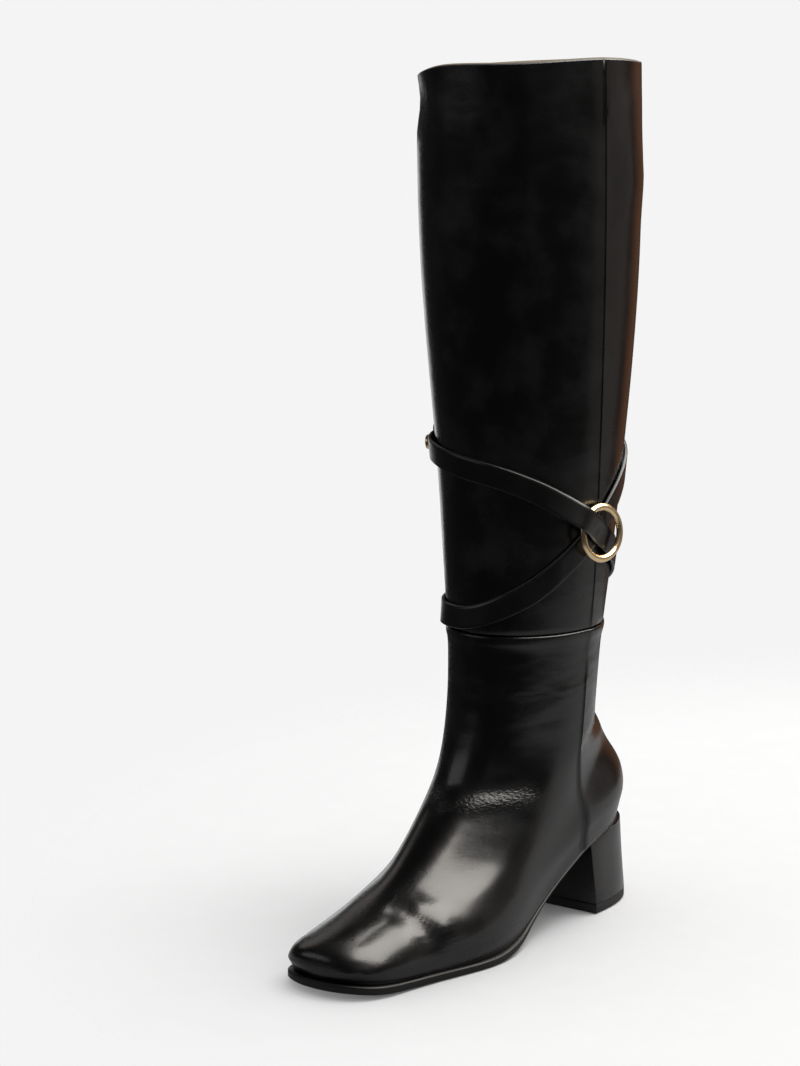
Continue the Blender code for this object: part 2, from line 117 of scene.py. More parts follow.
def softbox(name, azimuth, elevation, distance, size, brightness, colour, shine=True):
    """An area lamp that faces the boot. Azimuth 0 is in front of the toe, 90 on its outer side."""
    bpy.ops.object.select_all(action="DESELECT")
    bpy.ops.object.light_add(type="AREA")
    lamp = bpy.context.object
    lamp.name = name
    turn = math.radians(azimuth)
    rise = math.radians(elevation)
    away = Vector((math.sin(turn) * math.cos(rise), -math.cos(turn) * math.cos(rise), math.sin(rise)))
    lamp.location = Vector((0, 0, AIM_HEIGHT * MM)) + away * distance * MM
    lamp.rotation_euler = away.to_track_quat("Z", "Y").to_euler()
    lamp.data.shape = "RECTANGLE"
    lamp.data.size = size[0] * MM
    lamp.data.size_y = size[1] * MM
    lamp.data.energy = WATTS_FOR_WHITE * brightness * lamp.data.size * lamp.data.size_y
    lamp.data.color = linear(colour)[:3]
    lamp.visible_camera = False
    lamp.visible_diffuse = not shine
    lamp.visible_glossy = shine
    print(name, "gives", round(lamp.data.energy, 2), "W")


# %% Lights
# Each row: name, azimuth and elevation in degrees, distance and size in mm, brightness, colour.
softbox("key_softbox", 137, 60, 1500, (2000, 1500), 6.5, "#FFFAF3")
softbox("left_panel", 247, 27, 1900, (900, 520), 0.45, "#FFF6EE")
softbox("backdrop", 222, -3, 2000, (1300, 560), 0.9, "#FFFFFF")
softbox("strap_panel", 322, 24, 1800, (1500, 600), 0.65, "#FFFFFF")
softbox("side_panel", 137, 10, 1700, (1500, 1900), 0.17, "#FFEFE6")
softbox("warm_panel", 182, 8, 1800, (800, 1300), 0.16, "#FFA566")
softbox("front_panel", 72, 26, 1700, (1900, 1000), 0.1, "#FFFFFF")
softbox("overhead_lamp", 150, 68, 6000, (3500, 3500), 3.35, "#FFFFFF", shine=False)

# %% [markdown]
# ## Studio walls
# Pale walls surround the paper. A room of planes could stand for them, but the world's
# background gives the same with no geometry. It has the floor's own pale tone for the
# camera, a moderate fill for matt surfaces, and is nearly dark for shiny ones, so that the
# leather mirrors the panels and little else. One small function adds each node.

# %% Studio walls
WALL_SEEN = 0.905
WALL_FILL = 0.66
WALL_SHINE = 0.035
WHITE = (1, 1, 1, 1)


def add_node(tree, kind, settings=None, values=None, links=None):
    """Adds a node with its settings, its sockets' values and the links that feed it."""
    made = tree.nodes.new(kind)
    for option, value in (settings or {}).items():
        setattr(made, option, value)
    for socket, value in (values or {}).items():
        made.inputs[socket].default_value = value
    for socket, source in (links or {}).items():
        tree.links.new(source, made.inputs[socket])
    return made


bpy.context.scene.view_settings.view_transform = "Standard"
world = bpy.data.worlds.new("pale_studio")
bpy.context.scene.world = world
world.use_nodes = True
studio = world.node_tree
rays = add_node(studio, "ShaderNodeLightPath")
seen = add_node(
    studio, "ShaderNodeMath", {"operation": "MULTIPLY_ADD"},
    {1: WALL_SEEN - WALL_FILL, 2: WALL_FILL},
    {0: rays.outputs["Is Camera Ray"]},
)
shone = add_node(
    studio, "ShaderNodeMath", {"operation": "MULTIPLY_ADD"},
    {1: WALL_SHINE - WALL_FILL},
    {0: rays.outputs["Is Glossy Ray"], 2: seen.outputs[0]},
)
walls = studio.nodes["Background"]
walls.inputs["Color"].default_value = WHITE
studio.links.new(shone.outputs[0], walls.inputs["Strength"])
print("walls:", WALL_SEEN, "seen,", WALL_FILL, "as fill,", WALL_SHINE, "in shine")

# %% [markdown]
# ## Materials
# Real leather, metal and rubber are never one flat tone: the gloss comes in clouds, and a
# fine grain breaks up the light. Pictures of leather could be wrapped round the boot, but
# they stretch over the toe and need a layout. Noise patterns don't, so one function makes
# all the finishes from them. Each scale comes from a size in millimetres, and all of them
# use object coordinates, so the grain stays on the piece from any side. Bump nodes turn the
# patterns into relief for the light alone, without more faces.
#
# Worn leather also has shallow ripples and small wrinkles. Two values that are painted on
# the points, drape and flex, say where those are. The patterns are squeezed in height, so
# that ripples run round the leg.

# %% Wear of leather
WEAR = (
    # painted value, size of the pattern in mm, detail, depth in mm
    ("drape", 26, 1.5, 1.0),
    ("flex", 2.2, 4, 0.5),
)
WEAR_ROUGHNESS = 0.45


def per_mm(size):
    """The texture scale at which a pattern's cells are this many millimetres wide."""
    return 1 / (size * MM)


def add_wear(tree, place, bumps):
    """Lays the painted ripples and wrinkles over the grain and returns the last bump."""
    for value, size, detail, depth in WEAR:
        waves = add_node(
            tree, "ShaderNodeTexNoise",
            values={"Scale": per_mm(size), "Detail": detail, "Roughness": WEAR_ROUGHNESS},
            links={"Vector": place},
        )
        painted = add_node(tree, "ShaderNodeAttribute", {"attribute_name": value})
        height = add_node(
            tree, "ShaderNodeMath", {"operation": "MULTIPLY"},
            links={0: waves.outputs[0], 1: painted.outputs["Fac"]},
        )
        bumps = add_node(
            tree, "ShaderNodeBump", values={"Strength": 1, "Distance": depth * MM},
            links={"Height": height.outputs[0], "Normal": bumps.outputs[0]},
        )
    return bumps


# %% One function for all finishes
COAT_ROUGHNESS = 0.15
CLOUD_SIZE = 24
CLOUD_DETAIL = 4
CLOUD_GLOSS = (0.3, 0.7)
CLOUD_COLOUR = (0.45, 0.75)
GRAIN_DETAIL = 3
ROUND_THE_LEG = (1, 1, 2.4)


def surface(name, colour, faded, gloss, grain, coat=0.0, metallic=0.0, shine=0.5, worn=False):
    """A finish with clouds of colour and gloss over a grain of this size and depth in mm."""
    made = bpy.data.materials.new(name)
    made.use_nodes = True
    tree = made.node_tree
    shader = tree.nodes["Principled BSDF"]
    shader.inputs["Metallic"].default_value = metallic
    shader.inputs["Specular IOR Level"].default_value = shine
    shader.inputs["Coat Weight"].default_value = coat
    shader.inputs["Coat Roughness"].default_value = COAT_ROUGHNESS
    place = add_node(tree, "ShaderNodeTexCoord").outputs["Object"]
    flat = add_node(tree, "ShaderNodeMapping", values={"Scale": ROUND_THE_LEG}, links={"Vector": place})
    clouds = add_node(
        tree, "ShaderNodeTexNoise",
        values={"Scale": per_mm(CLOUD_SIZE), "Detail": CLOUD_DETAIL},
        links={"Vector": place},
    )
    rough = add_node(
        tree, "ShaderNodeMapRange",
        values={"From Min": CLOUD_GLOSS[0], "From Max": CLOUD_GLOSS[1],
                "To Min": gloss[0], "To Max": gloss[1]},
        links={"Value": clouds.outputs[0]},
    )
    tree.links.new(rough.outputs[0], shader.inputs["Roughness"])
    patches = add_node(
        tree, "ShaderNodeMapRange",
        values={"From Min": CLOUD_COLOUR[0], "From Max": CLOUD_COLOUR[1]},
        links={"Value": clouds.outputs[0]},
    )
    tint = add_node(
        tree, "ShaderNodeMix", {"data_type": "RGBA"},
        {6: linear(colour), 7: linear(faded)},
        {0: patches.outputs[0]},
    )
    tree.links.new(tint.outputs[2], shader.inputs["Base Color"])
    pores = add_node(
        tree, "ShaderNodeTexNoise",
        values={"Scale": per_mm(grain[0]), "Detail": GRAIN_DETAIL},
        links={"Vector": flat.outputs[0]},
    )
    bumps = add_node(
        tree, "ShaderNodeBump", values={"Strength": 1, "Distance": grain[1] * MM},
        links={"Height": pores.outputs[0]},
    )
    if worn:
        bumps = add_wear(tree, flat.outputs[0], bumps)
    tree.links.new(bumps.outputs[0], shader.inputs["Normal"])
    return made


# %% [markdown]
# ## Finishes
# The upper and shaft are polished calf, dyed black and burnished, so they are almost a
# mirror with soft clouds. The strap and the sole are firmer leather, waxed and duller. The
# heel is covered with calf, stretched flat. The lining is undyed leather left matt. The
# ring and stud are plated zinc, polished, with a faint satin. The lift is moulded rubber,
# and the cut edges of the strap and collar carry a dull grey paint, lighter than the leather,
# which also serves as a painted highlight along those edges. Each finish could have its
# own graph of nodes, but one graph with other values keeps them alike in style.
#
# The pores of calf are about 0.3 mm apart and rubber's grit is finer still. That is too
# fine to show in the picture, so every grain is drawn about 1 mm wide.

# %% Finishes
# Polished calf: deep black with soft-edged reflections and a faintly pebbled border to them.
calf = surface(
    "black calf leather", "#020202", "#101011", gloss=(0.22, 0.31), grain=(1.1, 0.03), coat=0.15, worn=True
)
# Waxed strap leather: a duller black that keeps a broad, soft sheen.
strap_leather = surface(
    "black strap leather", "#030303", "#080808", gloss=(0.27, 0.36), grain=(1.1, 0.02), coat=0.1
)
# Edge paint: a thin dark grey line that parts an edge from the leather behind it. Being lighter than the
# leather, it is also a painted highlight along the edge.
edge_paint_and_highlight = surface("grey edge paint and painted highlight", "#2A2A2C", "#343436", gloss=(0.4, 0.5), grain=(0.8, 0.02))
# Stained sole leather: nearly matt, with short fibres.
sole_leather = surface(
    "black sole leather", "#080707", "#0E0D0C", gloss=(0.42, 0.52), grain=(0.9, 0.02), shine=0.35
)
# Calf pulled over the heel: flat and glossy.
heel_cover = surface(
    "leather heel cover", "#090808", "#0F0E0E", gloss=(0.2, 0.28), grain=(1.1, 0.015), coat=0.15
)
# Rubber lift: dark grey and matt, with a fine moulded grit.
heel_rubber = surface("black heel rubber", "#101010", "#161616", gloss=(0.48, 0.6), grain=(0.7, 0.03))
# Lining leather: pale cream and matt.
lining_leather = surface("cream lining leather", "#C8B9A0", "#D6C9B4", gloss=(0.55, 0.7), grain=(1.1, 0.02))
# Plated zinc: a pale warm gold with soft-edged reflections.
pale_gold = surface(
    "pale gold plating", "#F3D6A6", "#F8E0B8", gloss=(0.2, 0.28), grain=(0.8, 0.005), metallic=1.0
)
# Paper: even and matt, so that the floor gives no reflections.
paper = surface("pale paper", "#F6F6F6", "#F8F8F8", gloss=(0.85, 0.95), grain=(1.5, 0.01))
floor.data.materials.append(paper)
print("materials:", ", ".join(sorted(m.name for m in bpy.data.materials)))

# %% [markdown]
# ## Fading floor
# A sheet of paper has an edge, and the photograph shows none. The floor could be made so
# large that its edge is out of sight, but its far side would still differ from the walls.
# So it fades out some way from the boot, by its distance from a middle point. It also shows
# only about half in the leather's shine, which keeps the foot dark.

# %% Fading floor
FLOOR_MIDDLE = (160, 250, 0)
FLOOR_FULL = 320
FLOOR_GONE = 620
FLOOR_SHINE = 0.48

tree = paper.node_tree
place = add_node(tree, "ShaderNodeTexCoord").outputs["Object"]
middle = [value * MM for value in FLOOR_MIDDLE]
reach = add_node(tree, "ShaderNodeVectorMath", {"operation": "DISTANCE"}, {1: middle}, {0: place})
shown = add_node(
    tree, "ShaderNodeMapRange", {"interpolation_type": "SMOOTHSTEP"},
    {"From Min": FLOOR_FULL * MM, "From Max": FLOOR_GONE * MM, "To Min": 1, "To Max": 0},
    {"Value": reach.outputs["Value"]},
)
rays = add_node(tree, "ShaderNodeLightPath")
dimmed = add_node(
    tree, "ShaderNodeMath", {"operation": "MULTIPLY_ADD"}, {1: FLOOR_SHINE - 1, 2: 1},
    {0: rays.outputs["Is Glossy Ray"]},
)
alpha = add_node(
    tree, "ShaderNodeMath", {"operation": "MULTIPLY"}, links={0: shown.outputs[0], 1: dimmed.outputs[0]}
)
tree.links.new(alpha.outputs[0], tree.nodes["Principled BSDF"].inputs["Alpha"])
print("floor fades from", FLOOR_FULL, "to", FLOOR_GONE, "mm")

# %% [markdown]
# ## Copies of the solids
# The leather could be modelled afresh from primitives, but the solids already have its
# form and place, so each piece starts as a copy of one. A solid is loose triangles. In the
# copy, Merge by Distance joins the doubled points, and Tris to Quads turns the triangles
# back into four-sided faces, because those subdivide evenly.

# %% Helpers for copies
MERGE_GAP = 0.01
QUAD_BEND = math.radians(60)
QUAD_SKEW = math.radians(89)
EVEN_QUADS = 1.5


def only(piece):
    """Selects this piece alone and makes it the active one."""
    bpy.ops.object.select_all(action="DESELECT")
    piece.select_set(True)
    bpy.context.view_layer.objects.active = piece


def copy_of(node, name):
    """A copy of a solid as one clean mesh at the origin."""
    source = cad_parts[node]
    piece = bpy.data.objects.new(name, source.data.copy())
    bpy.context.collection.objects.link(piece)
    piece.matrix_world = source.matrix_world
    piece.data.materials.clear()
    only(piece)
    bpy.ops.object.transform_apply(location=True, rotation=True, scale=True)
    if piece.data.has_custom_normals:
        bpy.ops.mesh.customdata_custom_splitnormals_clear()
    bpy.ops.object.mode_set(mode="EDIT")
    bpy.ops.mesh.select_all(action="SELECT")
    bpy.ops.mesh.remove_doubles(threshold=MERGE_GAP * MM)
    bpy.ops.mesh.tris_convert_to_quads(
        face_threshold=QUAD_BEND, shape_threshold=QUAD_SKEW, topology_influence=EVEN_QUADS
    )
    bpy.ops.object.mode_set(mode="OBJECT")
    return piece


# %% [markdown]
# A Subdivision Surface modifier rounds everything, also the edges that a maker would keep
# crisp. Those could be held by extra loops of faces, but Edge Crease does the same without
# adding any. So the sharp edges get a crease first, where needed only between two heights
# or behind a place. A second crease on the same edge adds to the first.

# %% Helpers for rounding
BEYOND = 1000  # further out than any part of the boot


def tighten(piece, sharp, crease, above=-BEYOND, below=BEYOND, behind=-BEYOND):
    """Adds a crease to the edges sharper than the angle, between two heights and behind a place."""
    only(piece)
    bpy.ops.object.mode_set(mode="EDIT")
    bpy.ops.mesh.select_mode(type="EDGE")
    bpy.ops.mesh.select_all(action="DESELECT")
    bpy.ops.mesh.edges_select_sharp(sharpness=math.radians(sharp))
    bpy.ops.object.mode_set(mode="OBJECT")
    points = piece.data.vertices
    for edge in piece.data.edges:
        heights = [points[i].co.z / MM for i in edge.vertices]
        front = min(points[i].co.y / MM for i in edge.vertices)
        in_zone = above < min(heights) and max(heights) < below and front > behind
        edge.select = edge.select and in_zone
    bpy.ops.object.mode_set(mode="EDIT")
    bpy.ops.transform.edge_crease(value=crease)
    bpy.ops.object.mode_set(mode="OBJECT")


def modify(piece, kind, **settings):
    """Adds a modifier with its settings and applies it."""
    only(piece)
    modifier = piece.modifiers.new(kind.lower(), kind)
    for option, value in settings.items():
        setattr(modifier, option, value)
    bpy.ops.object.modifier_apply(modifier=modifier.name)


def shade(piece, angle):
    """Smooth shading, with edges sharper than the angle left sharp."""
    only(piece)
    bpy.ops.object.shade_smooth_by_angle(angle=math.radians(angle))


def finish_piece(piece, finish, slot, *nodes):
    """Gives the piece its material, its body and the solids that it stands for. The slot is not used."""
    piece.data.materials.clear()
    piece.data.materials.append(finish)
    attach(piece, "root")
    if nodes:
        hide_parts(*nodes)
    print(piece.name, "has", len(piece.data.polygons), "faces")


# %% [markdown]
# ## Shaft
# The leg part is a tube of leather with two side seams, tucked into the foot part at the
# ankle seam. It could be lofted again from rings, but the copy of its solid only needs its
# facets rounded. The points just above the ankle seam move down a little first, so that
# the seam stays a narrow groove. All sharp edges get a moderate crease. The side seams then
# get a full one, which keeps their thin lines, and the collar nearly a full one, which
# keeps its rim narrow.

# %% Shaft leather
ANKLE_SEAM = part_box("upper")[1][2] / MM
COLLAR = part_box("shaft")[1][2] / MM
COLLAR_ZONE = COLLAR - 14
GROOVE = (0.7, 3.5)
GROOVE_DROP = 1.3
WALL_EDGE = 28
SEAM_EDGE = 20

shaft = copy_of("shaft", "shaft_leather")
for point in shaft.data.vertices:
    point.select = GROOVE[0] < point.co.z / MM - ANKLE_SEAM < GROOVE[1]
only(shaft)
bpy.ops.object.mode_set(mode="EDIT")
bpy.ops.transform.translate(value=(0, 0, -GROOVE_DROP * MM))
bpy.ops.object.mode_set(mode="OBJECT")
tighten(shaft, WALL_EDGE, crease=0.6)
tighten(shaft, SEAM_EDGE, crease=1.0, above=ANKLE_SEAM + 4, below=COLLAR_ZONE)
tighten(shaft, WALL_EDGE, crease=0.35, above=COLLAR_ZONE)
modify(shaft, "SUBSURF", levels=2)
shade(shaft, angle=32)
print("ankle seam at", round(ANKLE_SEAM, 1), "mm, collar at", round(COLLAR, 1), "mm")

# %% [markdown]
# ## Folds
# Leather that is worn or stands by itself sags and folds. Folds could be sculpted with
# brushes or left to a cloth simulation, but neither puts a fold just where the photograph
# shows it. Here each one is pressed in along a line of points in the boot's own
# millimetres. A soft fold has a round bottom and a crisp one comes to a line. A negative
# depth raises a ridge. A fold fades out towards both ends of its line.

# %% Helpers for points
LEG_AXIS = 54  # how far behind the origin the leg's axis stands
# A line through the middle of the foot and leg, to tell which way is outwards.
CORE = ((0, -112, 8), (0, -60, 12), (0, 0, 28), (0, 40, 60), (0, 52, 110), (0, LEG_AXIS, 460))
CORE_STEP = 4.0
LINE_STEP = 2.0


def spread(line, step):
    """Points every few millimetres along a line of points."""
    line = np.array(line, dtype=float)
    runs = np.concatenate([[0], np.cumsum(np.linalg.norm(np.diff(line, axis=0), axis=1))])
    marks = np.linspace(0, runs[-1], max(2, int(runs[-1] / step) + 1))
    return np.stack([np.interp(marks, runs, line[:, i]) for i in range(3)], axis=1)


def places_of(piece):
    """The piece's points in millimetres and their normals."""
    count = len(piece.data.vertices)
    places = np.empty(count * 3)
    normals = np.empty(count * 3)
    piece.data.vertices.foreach_get("co", places)
    piece.data.vertex_normals.foreach_get("vector", normals)
    return places.reshape(-1, 3) / MM, normals.reshape(-1, 3)


def put_back(piece, places):
    """Moves the piece's points to these places, given in millimetres."""
    piece.data.vertices.foreach_set("co", (places * MM).ravel())
    piece.data.update()


def gap_to(places, samples):
    """For each place, its distance to the nearest sample and that sample's number."""
    best = np.full(len(places), np.inf)
    nearest = np.zeros(len(places), dtype=int)
    for number, sample in enumerate(samples):
        gap = np.linalg.norm(places - sample, axis=1)
        closer = gap < best
        best[closer] = gap[closer]
        nearest[closer] = number
    return best, nearest


# %% Helper for folds
FOLD_FADE = 0.3  # share of the line over which a fold fades, at each end
OUTER_SIDE = 0.2  # how far a point must look outwards to be on the wall's outer side


def press(piece, line, width, depth, crisp=False, through=False):
    """Presses a fold of this half width and depth into the leather along a line.

    A fold that goes through moves the inner side of the wall with the outer side.
    """
    places, normals = places_of(piece)
    samples = spread(line, LINE_STEP)
    outward = np.array([piece.closest_point_on_mesh(Vector(s) * MM)[2] for s in samples])
    core = spread(CORE, CORE_STEP)
    away = samples - core[gap_to(samples, core)[1]]
    outward *= np.sign((outward * away).sum(axis=1))[:, None]
    gap, nearest = gap_to(places, samples)
    reach = np.clip(gap / width, 0, 1)
    fall = (1 - reach) ** 2 if crisp else (1 - reach) ** 2 * (1 + 2 * reach)
    share = nearest / (len(samples) - 1)
    ends = np.clip(np.minimum(share, 1 - share) / FOLD_FADE, 0, 1)
    if through:
        normals = outward[nearest]
    else:
        ends = ends * ((normals * outward[nearest]).sum(axis=1) > OUTER_SIDE)
    put_back(piece, places - normals * (depth * fall * ends)[:, None])
    print("fold of", depth, "mm moves", np.count_nonzero(fall * ends), "points of", piece.name)


# %% [markdown]
# Under the collar the shaft is drawn in at the inner front and the outer back, and lower
# down it swells a little at the outer back. A bump in the material could fake this, but it
# wouldn't change the outline, so these folds are geometry and go through the wall. The
# leather's ripples are weak on the shaft, which stands straight. The collar's cut edge gets
# the grey edge paint on the faces that look up: paint, and a painted highlight along the rim.

# %% Folds of the shaft
SHAFT_DRAPE = 0.35
LOOKS_UP = 0.35
SHAFT_FOLDS = (
    # line, half width in mm, depth in mm
    (((-52, 36, 434), (-44, 15, 436), (-32, 2, 437), (-20, -6, 436)), 18, 1.8),
    (((45, 92, 448), (56, 66, 449), (57, 48, 449)), 16, 1.2),
    (((42, 94, 398), (55, 66, 396), (56, 44, 396)), 30, -1.5),
)


def paint(piece, name, values):
    """Gives each point of the piece a value that its material can read."""
    painted = piece.data.attributes.new(name, "FLOAT", "POINT")
    painted.data.foreach_set("value", values)


for line, width, depth in SHAFT_FOLDS:
    press(shaft, line, width, depth, through=True)
paint(shaft, "drape", np.full(len(shaft.data.vertices), SHAFT_DRAPE))
finish_piece(shaft, calf, "black_calf_leather", "shaft")
# The grey on the collar's upward faces is lighter than the leather: paint, and a painted highlight along
# the rim.
shaft.data.materials.append(edge_paint_and_highlight)
for face in shaft.data.polygons:
    face.material_index = int(face.normal.z > LOOKS_UP and face.center.z > COLLAR_ZONE * MM)

# %% [markdown]
# ## Lining
# The shaft is lined with a thin skin of pale leather that shows as a line at the collar.
# It could be painted on the shaft's inner faces, but a skin of its own keeps the border
# clean. It is the inner wall of another copy: all faces that don't look inwards are deleted,
# the same folds are pressed in, and Shrink/Fatten sets the skin just inside the wall. Its
# faces look inwards, so fattening it moves it in.

# %% Shaft lining
AXIS = Vector((0, LEG_AXIS, 0)) * MM
LOOKS_IN = -0.5
LINING_GAP = 0.35
LINING_BELOW = 0.7


def looks_out(face):
    """1 for a face that looks straight away from the leg's axis, -1 for one that looks at it."""
    radial = face.center - AXIS
    radial.z = 0
    return face.normal.dot(radial.normalized())


def mean_radius(piece):
    """The mean distance of the piece's points from the leg's axis, in millimetres."""
    places = places_of(piece)[0]
    return np.hypot(places[:, 0], places[:, 1] - LEG_AXIS).mean()


lining = copy_of("shaft", "shaft_lining")
bpy.ops.object.mode_set(mode="EDIT")
bpy.ops.mesh.select_mode(type="FACE")
bpy.ops.mesh.select_all(action="DESELECT")
bpy.ops.object.mode_set(mode="OBJECT")
for face in lining.data.polygons:
    face.select = looks_out(face) > LOOKS_IN
bpy.ops.object.mode_set(mode="EDIT")
bpy.ops.mesh.delete(type="FACE")
bpy.ops.object.mode_set(mode="OBJECT")
modify(lining, "SUBSURF", levels=2)
for line, width, depth in SHAFT_FOLDS:
    press(lining, line, width, depth, through=True)

# %% Set the lining inside the wall
wall = mean_radius(lining)
bpy.ops.object.mode_set(mode="EDIT")
bpy.ops.mesh.select_all(action="SELECT")
bpy.ops.transform.shrink_fatten(value=LINING_GAP * MM)
bpy.ops.transform.translate(value=(0, 0, -LINING_BELOW * MM))
bpy.ops.object.mode_set(mode="OBJECT")
print("lining stands inside the wall by", round(wall - mean_radius(lining), 2), "mm")
shade(lining, angle=60)
finish_piece(lining, lining_leather, "insole_leather")

# %% [markdown]
# ## Upper
# The foot part is one piece of calf drawn over a last. It could be sculpted, but the copy
# of its solid has the last's form, so it is rounded as the shaft was. The edge along the
# sole and the two side seams get creases. The vamp and toe get none, because any crease
# there would show as a bright line in the polish.

# %% Upper leather
upper = copy_of("upper", "upper_leather")
tighten(upper, WALL_EDGE, crease=0.9, below=12)
tighten(upper, WALL_EDGE, crease=0.9, below=20, behind=-70)
tighten(upper, SEAM_EDGE, crease=1.0, above=20, below=ANKLE_SEAM - 12, behind=10)
modify(upper, "SUBSURF", levels=2)
shade(upper, angle=50)
print("upper has", len(upper.data.vertices), "points to fold")

# %% [markdown]
# The vamp was drawn tight over a smooth last, so the small waves that the solid's facets
# leave there are taken out. A smoothing modifier would shrink the toe, so each smoothing
# step is followed by one that pushes the points back out.

# %% Smooth vamp
VAMP_BACK = -15
VAMP_LOWEST = 12
VAMP_LOOKS_UP = 0.1
SMOOTH_STEPS = 40
SMOOTH_IN = 0.5
SMOOTH_OUT = -0.52

places, normals = places_of(upper)
on_vamp = (places[:, 1] < VAMP_BACK) & (places[:, 2] > VAMP_LOWEST) & (normals[:, 2] > VAMP_LOOKS_UP)
only(upper)
for kind in (upper.data.polygons, upper.data.edges):
    kind.foreach_set("select", np.zeros(len(kind), dtype=bool))
upper.data.vertices.foreach_set("select", on_vamp)
bpy.ops.object.mode_set(mode="EDIT")
bpy.ops.mesh.select_mode(type="VERT")
for step in range(SMOOTH_STEPS):
    bpy.ops.mesh.vertices_smooth(factor=SMOOTH_IN)
    bpy.ops.mesh.vertices_smooth(factor=SMOOTH_OUT)
bpy.ops.object.mode_set(mode="OBJECT")
print("points smoothed on the vamp:", int(on_vamp.sum()))

# %% [markdown]
# The folds of the upper follow its wear: a sharp fold above the counter on both sides, a
# ridge with a trough above it where the instep bends, and a trough with a roll behind it
# across the vamp. The toe's inner corner is filled out a little, because lasted leather is
# at its roundest there.

# %% Folds of the upper
COUNTER_FOLD = (
    (0, 104, 109), (12, 96, 107), (22.5, 86, 103.4), (30.6, 69.5, 102),
    (34.5, 59, 99.2), (35.2, 54, 95.7), (35, 52, 89.5),
)
INSTEP_RIDGE = ((-22, 0, 75), (-10, -15, 75), (0.1, -21, 75), (10.5, -15, 76), (20, -4, 77), (31, 14, 76))
INSTEP_TROUGH = ((-24, 5, 84), (-8, -11, 84), (6, -12, 84), (17, -3, 84), (29, 14, 84))
VAMP_TROUGH = (
    (1, -73.5, 37.5), (8, -75.6, 35), (16.3, -76, 31.7), (25.6, -73, 24),
    (28.7, -69, 18.3), (30.3, -65.2, 12.4),
)
VAMP_ROLL = (
    (3, -62, 42.3), (9, -63.5, 40), (17, -64, 36.5), (25.5, -61, 29.8),
    (30.9, -57.5, 22), (32.5, -54, 14),
)
TOE_CORNER = ((-32, -98, 20), (-28, -110, 20), (-21, -119, 19), (-8, -122, 18))
mirrored_fold = [(-x, y, z) for x, y, z in COUNTER_FOLD]

for side in (COUNTER_FOLD, mirrored_fold):
    press(upper, side, width=9, depth=0.9)
    press(upper, side, width=4, depth=0.7, crisp=True)
press(upper, INSTEP_RIDGE, width=6, depth=-0.6)
press(upper, INSTEP_TROUGH, width=7, depth=0.6)
press(upper, VAMP_TROUGH, width=10, depth=1.6)
press(upper, VAMP_ROLL, width=10, depth=-1.2)
press(upper, TOE_CORNER, width=9, depth=-1.0)

# %% [markdown]
# Small wrinkles and ripples are too fine for the mesh, so they are bumps in the material,
# and painted values say where the leather is worn. The wrinkles lie along the instep ridge,
# with fainter ones over the vamp, and the ripples at the front of the ankle.

# %% Wear of the upper
RIDGE_LIFT = (0, 0, 2)
RIDGE_REACH = 8
VAMP_REACH = 60
ANKLE_MIDDLE = 130
ANKLE_REACH = 34
ANKLE_BACK = 75
ANKLE_FADE = 25
RIDGE_FLEX = 1.1
VAMP_FLEX = 0.12
LEAST_FLEX = 0.05
ANKLE_DRAPE = 1.3
LEAST_DRAPE = 0.3


def nearness(gap, reach):
    """1 where the gap is nothing, falling to 0 where it is as large as the reach."""
    return np.clip(1 - gap / reach, 0, 1)


places = places_of(upper)[0]
ridge_gap = gap_to(places, spread(INSTEP_RIDGE, LINE_STEP) + RIDGE_LIFT)[0]
vamp_gap = gap_to(places, spread(VAMP_TROUGH, LINE_STEP))[0]
ankle_gap = np.abs(places[:, 2] - ANKLE_MIDDLE)
front = np.clip((ANKLE_BACK - places[:, 1]) / ANKLE_FADE, 0, 1)
flex = RIDGE_FLEX * nearness(ridge_gap, RIDGE_REACH) + VAMP_FLEX * nearness(vamp_gap, VAMP_REACH)
paint(upper, "flex", flex + LEAST_FLEX)
paint(upper, "drape", LEAST_DRAPE + ANKLE_DRAPE * front * nearness(ankle_gap, ANKLE_REACH))
finish_piece(upper, calf, "black_calf_leather", "upper")

# %% [markdown]
# ## Sole
# The sole is cut from firm leather and its edge is trimmed round. The edge could be bevelled,
# but a bevel has an even width and the sole's edge hasn't, so the copy is subdivided with a
# moderate crease. The same function rounds the pieces of the harness further on.


# %% Sole
def rounded(node, name, sharp, crease):
    """A copy of a solid that is rounded by subdivision, with its sharp edges held by a crease."""
    piece = copy_of(node, name)
    if crease:
        tighten(piece, sharp, crease)
    modify(piece, "SUBSURF", levels=2)
    shade(piece, angle=60)
    return piece


outsole = rounded("outsole", "outsole_leather", sharp=30, crease=0.6)
finish_piece(outsole, sole_leather, "sole_leather", "outsole")

# %% [markdown]
# ## Heel and insole
# The block heel is a stack covered with thin calf, with a rubber lift under it, and the
# insole is a flat sock of lining leather inside the boot. They have flat sides and firm
# edges. Subdivision would round those away, so their edges are bevelled instead. The bevels
# of cover and lift meet in a thin dark line, as on the real heel.


# %% Heel and insole
def bevelled(node, name, width, segments, sharp):
    """A copy of a solid whose sharp edges are bevelled by this many millimetres."""
    piece = copy_of(node, name)
    modify(piece, "BEVEL", width=width * MM, segments=segments, angle_limit=math.radians(sharp))
    shade(piece, sharp)
    return piece


heel = bevelled("heel_block", "heel_cover", width=0.8, segments=3, sharp=35)
finish_piece(heel, heel_cover, "heel_cover", "heel_block")
lift = bevelled("heel_top_piece", "heel_lift", width=0.5, segments=2, sharp=35)
finish_piece(lift, heel_rubber, "heel_rubber", "heel_top_piece")
insole = bevelled("insole", "insole_sock", width=0.4, segments=2, sharp=40)
finish_piece(insole, lining_leather, "insole_leather", "insole")
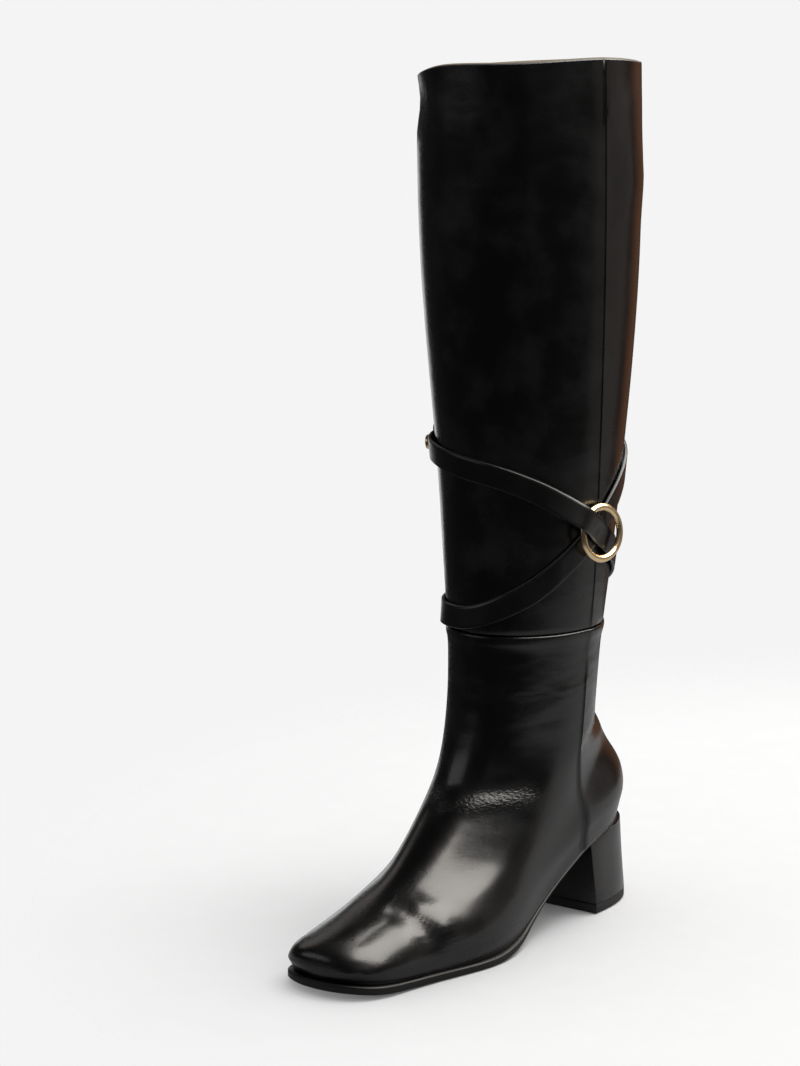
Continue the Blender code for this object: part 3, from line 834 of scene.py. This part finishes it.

# %% [markdown]
# ## Harness strap
# One flat strap goes twice round the shaft and crosses on the outer side. It could be swept
# along a curve, but the copy already lies where its solid does. Low on the leg the strap
# lies on a cone, so its lower edge stands off a little and its face turns up to the light.
# The table gives that lower edge, and points near it are moved away from the leg's axis.
# The cut edges, which look up and down, get the grey edge paint: paint, and a painted highlight along them.

# %% Harness strap
STRAP_LOWER_EDGE = (
    (-36.8, 28.5, 164.2), (-26, 13.3, 164), (-13, 4.8, 164.7), (-1.7, 2.2, 165.9),
    (10, 3.8, 169.5), (21, 9, 174.7), (33.8, 20.7, 184.6), (39.5, 29.3, 192),
)
STANDS_OFF = 2.0
STANDS_OFF_HEIGHT = 14  # the height over which the slanting strap's stand-off fades
STANDS_OFF_FADE = 20  # degrees round the leg over which it fades, at each end
CUT_EDGE = 0.6

strap = rounded("harness_strap", "harness_strap_leather", sharp=40, crease=0.5)
places = places_of(strap)[0]
around = np.degrees(np.arctan2(places[:, 0], LEG_AXIS - places[:, 1]))
edge_around = [math.degrees(math.atan2(x, LEG_AXIS - y)) for x, y, z in STRAP_LOWER_EDGE]
edge_height = np.interp(around, edge_around, [z for x, y, z in STRAP_LOWER_EDGE])
from_ends = np.minimum(around - edge_around[0], edge_around[-1] - around)
share = nearness(np.abs(places[:, 2] - edge_height), STANDS_OFF_HEIGHT)
share *= np.clip(from_ends / STANDS_OFF_FADE, 0, 1)
radial = places - (0, LEG_AXIS, 0)
radial[:, 2] = 0
radial /= np.linalg.norm(radial, axis=1)[:, None]
put_back(strap, places + radial * (STANDS_OFF * share)[:, None])
print("strap stands off by up to", round(STANDS_OFF * share.max(), 2), "mm")

# %% Paint the strap's cut edges
finish_piece(strap, strap_leather, "black_strap_leather", "harness_strap")
# The grey on the cut edges is lighter than the leather: paint, and a painted highlight along them.
strap.data.materials.append(edge_paint_and_highlight)
for face in strap.data.polygons:
    face.material_index = int(abs(looks_out(face)) < CUT_EDGE)

# %% [markdown]
# ## Keeper, ring and stud
# The keeper is a small loop of the strap's leather, and the ring and stud are cast metal
# with a thin plating. A torus could stand for the ring, but the solid already has its flat
# band, and subdivision rounds it all over as polishing does. The keeper and the stud keep
# firmer edges.

# %% Keeper, ring and stud
keeper = rounded("keeper", "keeper_loop", sharp=40, crease=0.5)
finish_piece(keeper, strap_leather, "black_strap_leather", "keeper")
ring = rounded("ring", "gold_ring", sharp=40, crease=0.0)
finish_piece(ring, pale_gold, "pale_gold", "ring")
stud = rounded("stud", "gold_stud", sharp=40, crease=0.7)
finish_piece(stud, pale_gold, "pale_gold", "stud")
